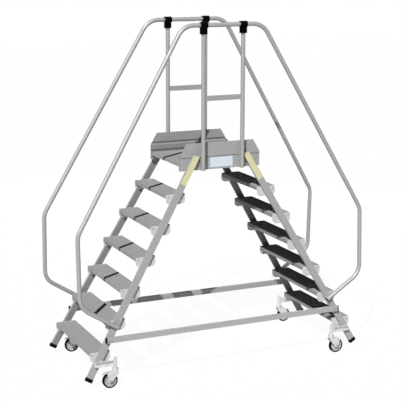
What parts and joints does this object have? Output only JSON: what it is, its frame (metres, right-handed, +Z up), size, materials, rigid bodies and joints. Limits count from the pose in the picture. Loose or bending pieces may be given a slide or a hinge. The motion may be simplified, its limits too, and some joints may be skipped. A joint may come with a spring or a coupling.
{
  "type": "double-sided platform ladder",
  "caption": "Mobile aluminium ladder with a flight of treads up each side to a railed deck, on swivel castors, for work at height or stepping over.",
  "frame": {"origin": "on the floor, midway between the wheels", "axes": "+X along the walk, to the right in the picture, +Y across it away from the picture's camera, +Z up"},
  "size_m": [2.575, 1.0058, 2.86],
  "materials": {
    "bare_aluminium": "satin mill finish",
    "tread_aluminium": "satin, grooved",
    "tube_aluminium": "satin drawn tube",
    "end_plate": "cast, light",
    "black_plastic": "moulded, satin",
    "zinc_steel": "bright zinc plate",
    "rim_plastic": "moulded grey",
    "tyre_rubber": "plain tread, matt"
  },
  "bodies": {
    "frame": {"base_bar_caps": "black_plastic", "base_bar_far": "bare_aluminium", "base_bar_near": "bare_aluminium", "castor_arms": "zinc_steel", "deck": "tread_aluminium", "foot_caps": "black_plastic", "handrail_end_caps": "black_plastic", "handrail_far": "tube_aluminium", "handrail_near": "tube_aluminium", "handrail_saddles": "bare_aluminium", "knee_rail_far": "tube_aluminium", "knee_rail_near": "tube_aluminium", "post_left_far": "tube_aluminium", "post_left_near": "tube_aluminium", "post_right_far": "tube_aluminium", "post_right_near": "tube_aluminium", "post_saddles": "bare_aluminium", "rail_tees": "black_plastic", "side_beam_far": "bare_aluminium", "side_beam_near": "bare_aluminium", "stile_left_far": "bare_aluminium", "stile_left_near": "bare_aluminium", "stile_right_far": "bare_aluminium", "stile_right_near": "bare_aluminium", "stile_wedges": "bare_aluminium", "toe_board_far": "bare_aluminium", "toe_board_near": "bare_aluminium", "tread_end_plates_left": "end_plate", "tread_end_plates_right": "end_plate", "tread_left_1": "tread_aluminium", "tread_left_2": "tread_aluminium", "tread_left_3": "tread_aluminium", "tread_left_4": "tread_aluminium", "tread_left_5": "tread_aluminium", "tread_left_6": "tread_aluminium", "tread_right_1": "tread_aluminium", "tread_right_2": "tread_aluminium", "tread_right_3": "tread_aluminium", "tread_right_4": "tread_aluminium", "tread_right_5": "tread_aluminium", "tread_right_6": "tread_aluminium"},
    "swivel_left_near": {"castor_fork_left_near": "zinc_steel", "castor_axle_left_near": "zinc_steel"},
    "wheel_left_near": {"castor_rim_left_near": "rim_plastic", "castor_tyre_left_near": "tyre_rubber"},
    "swivel_left_far": {"castor_fork_left_far": "zinc_steel", "castor_axle_left_far": "zinc_steel"},
    "wheel_left_far": {"castor_rim_left_far": "rim_plastic", "castor_tyre_left_far": "tyre_rubber"},
    "swivel_right_near": {"castor_fork_right_near": "zinc_steel", "castor_axle_right_near": "zinc_steel"},
    "wheel_right_near": {"castor_rim_right_near": "rim_plastic", "castor_tyre_right_near": "tyre_rubber"},
    "swivel_right_far": {"castor_fork_right_far": "zinc_steel", "castor_axle_right_far": "zinc_steel"},
    "wheel_right_far": {"castor_rim_right_far": "rim_plastic", "castor_tyre_right_far": "tyre_rubber"}
  },
  "joints": [
    {"name": "swivel_left_near_turn", "type": "hinge", "parent": "frame", "child": "swivel_left_near", "pos_m": [-0.99199, -0.47492, 0.14], "axis": [0, 0, 1], "continuous": true},
    {"name": "wheel_left_near_roll", "type": "hinge", "parent": "swivel_left_near", "child": "wheel_left_near", "pos_m": [-1.03899, -0.47492, 0.0625], "axis": [0, 1, 0], "continuous": true},
    {"name": "swivel_left_far_turn", "type": "hinge", "parent": "frame", "child": "swivel_left_far", "pos_m": [-0.99199, 0.47492, 0.14], "axis": [0, 0, 1], "continuous": true},
    {"name": "wheel_left_far_roll", "type": "hinge", "parent": "swivel_left_far", "child": "wheel_left_far", "pos_m": [-1.03899, 0.47492, 0.0625], "axis": [0, 1, 0], "continuous": true},
    {"name": "swivel_right_near_turn", "type": "hinge", "parent": "frame", "child": "swivel_right_near", "pos_m": [0.99199, -0.47492, 0.14], "axis": [0, 0, 1], "continuous": true},
    {"name": "wheel_right_near_roll", "type": "hinge", "parent": "swivel_right_near", "child": "wheel_right_near", "pos_m": [1.03899, -0.47492, 0.0625], "axis": [0, 1, 0], "continuous": true},
    {"name": "swivel_right_far_turn", "type": "hinge", "parent": "frame", "child": "swivel_right_far", "pos_m": [0.99199, 0.47492, 0.14], "axis": [0, 0, 1], "continuous": true},
    {"name": "wheel_right_far_roll", "type": "hinge", "parent": "swivel_right_far", "child": "wheel_right_far", "pos_m": [1.03899, 0.47492, 0.0625], "axis": [0, 1, 0], "continuous": true}
  ]
}
